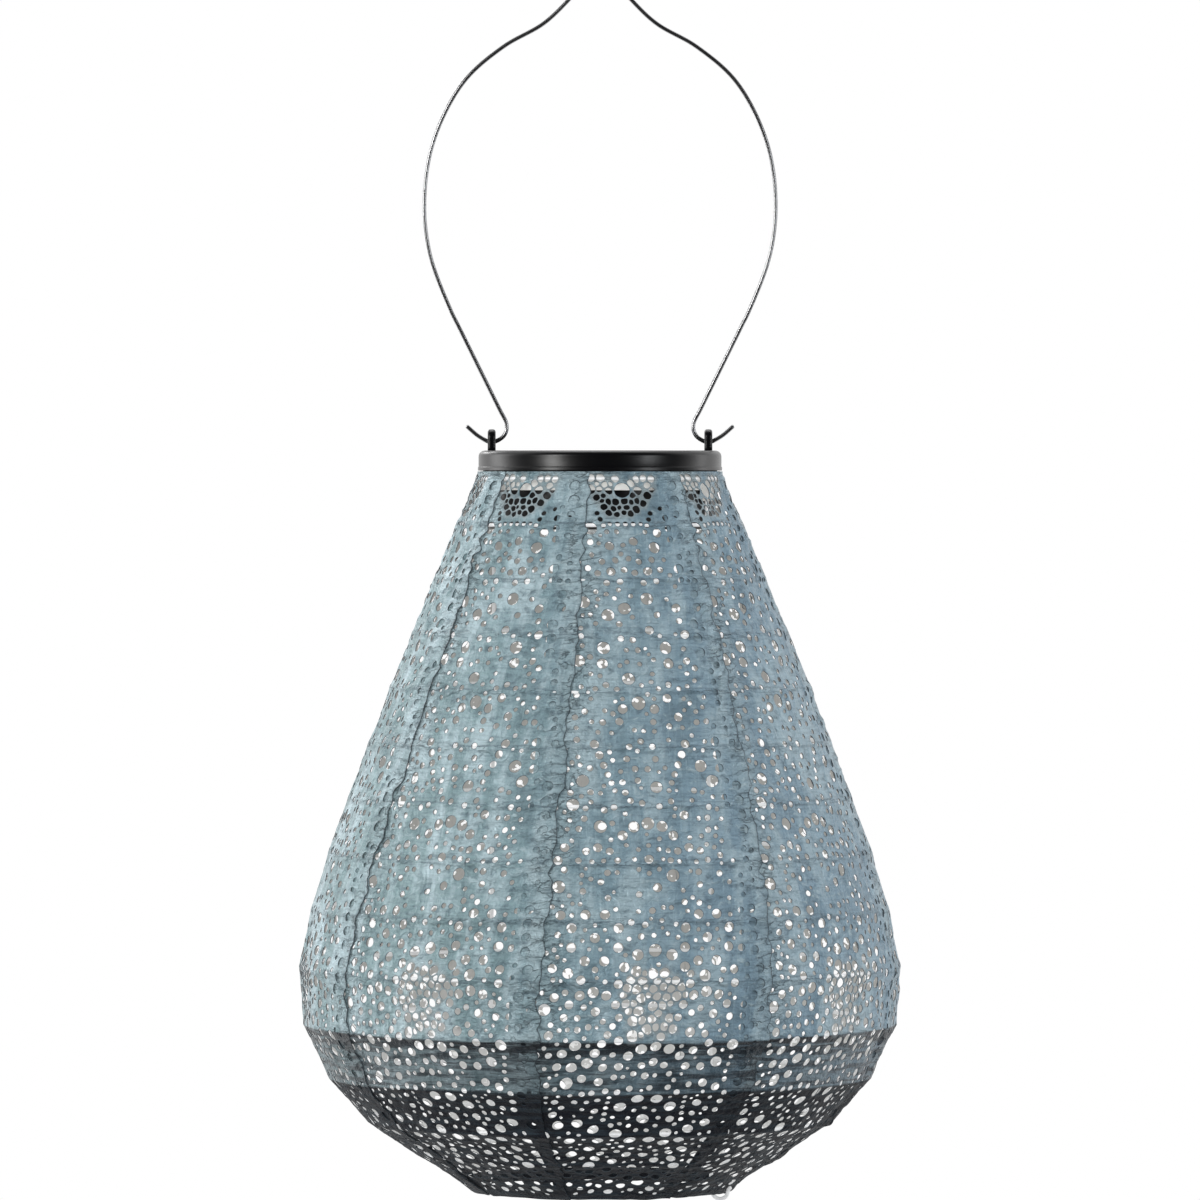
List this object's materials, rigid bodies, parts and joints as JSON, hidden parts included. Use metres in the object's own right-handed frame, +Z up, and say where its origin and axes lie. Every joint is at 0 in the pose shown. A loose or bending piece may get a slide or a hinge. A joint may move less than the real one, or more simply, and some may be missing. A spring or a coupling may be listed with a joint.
{
  "type": "solar hanging lantern",
  "caption": "Pear-shaped perforated fabric shade on wire hoops under a round solar cap with battery drum, hanging from a springy wire bail.",
  "frame": {"origin": "under the wire at the apex of the bail, where the lantern rests on the hook that it hangs from", "axes": "+Z up; the bail lies in the X-Z plane and its arms go through the cap's ears at +X and -X; the pictured side is -Y"},
  "size_m": [0.2792, 0.2792, 0.5692],
  "materials": {
    "bail_steel": "bright spring steel wire",
    "hoop_steel": "plain drawn wire",
    "hardware_steel": "plated",
    "black_plastic": "satin black moulding",
    "white_plastic": "plain white moulding",
    "collar_plastic": "white moulding with a black flange",
    "seal_rubber": "plain",
    "panel_face": "clear resin over dark blue cells",
    "red_insulation": "thin wire insulation",
    "black_insulation": "thin wire insulation",
    "cell_wrap": "green shrink wrap on a metal can",
    "board_green": "solder mask",
    "clear_plastic": "clear moulding",
    "shade_fabric": "pearl coated, blue grey above and near black below, perforated"
  },
  "bodies": {
    "bail": {"bail": "bail_steel"},
    "cap": {"cap_housing": "black_plastic", "solar_panel": "panel_face", "panel_lead_red": "red_insulation", "panel_lead_black": "black_insulation", "cap_seal": "seal_rubber", "spacer_ring": "white_plastic", "battery_drum": "black_plastic", "drum_screw_1": "hardware_steel", "drum_screw_2": "hardware_steel", "drum_screw_3": "hardware_steel", "rechargeable_cell": "cell_wrap", "contact_plate": "hardware_steel", "contact_spring": "hardware_steel", "circuit_board": "board_green", "led": "clear_plastic", "lens": "clear_plastic", "switch_body": "hardware_steel"},
    "battery_door": {"battery_door": "black_plastic"},
    "switch_slider": {"switch_slider": "black_plastic"},
    "shade": {"shade_collar": "collar_plastic", "top_hoop": "hoop_steel", "shade_hoop_01": "hoop_steel", "shade_hoop_02": "hoop_steel", "shade_hoop_03": "hoop_steel", "shade_hoop_04": "hoop_steel", "shade_hoop_05": "hoop_steel", "shade_hoop_06": "hoop_steel", "shade_hoop_07": "hoop_steel", "shade_hoop_08": "hoop_steel", "shade_hoop_09": "hoop_steel", "shade_hoop_10": "hoop_steel", "shade_hoop_11": "hoop_steel", "shade_hoop_12": "hoop_steel", "shade_hoop_13": "hoop_steel", "mouth_ring": "hoop_steel", "shade_gore_1": "shade_fabric", "shade_gore_2": "shade_fabric", "shade_gore_3": "shade_fabric", "shade_gore_4": "shade_fabric", "shade_gore_5": "shade_fabric", "shade_gore_6": "shade_fabric", "shade_gore_7": "shade_fabric", "shade_gore_8": "shade_fabric", "spreader_leg_1": "hoop_steel", "spreader_leg_2": "hoop_steel"}
  },
  "joints": [
    {"name": "bail_pivot", "type": "hinge", "parent": "bail", "child": "cap", "pos_m": [0, 0, -0.2174], "axis": [1, 0, 0], "range_deg": [-95, 95]},
    {"name": "shade_pull", "type": "slide", "parent": "cap", "child": "shade", "axis": [0, 0, -1], "range_m": [0, 0.045]},
    {"name": "battery_door_tilt", "type": "hinge", "parent": "cap", "child": "battery_door", "pos_m": [0, -0.02375, -0.2576], "axis": [1, 0, 0], "range_deg": [0, 75]},
    {"name": "switch_slide", "type": "slide", "parent": "cap", "child": "switch_slider", "axis": [1, 0, 0], "range_m": [0, 0.004]}
  ]
}
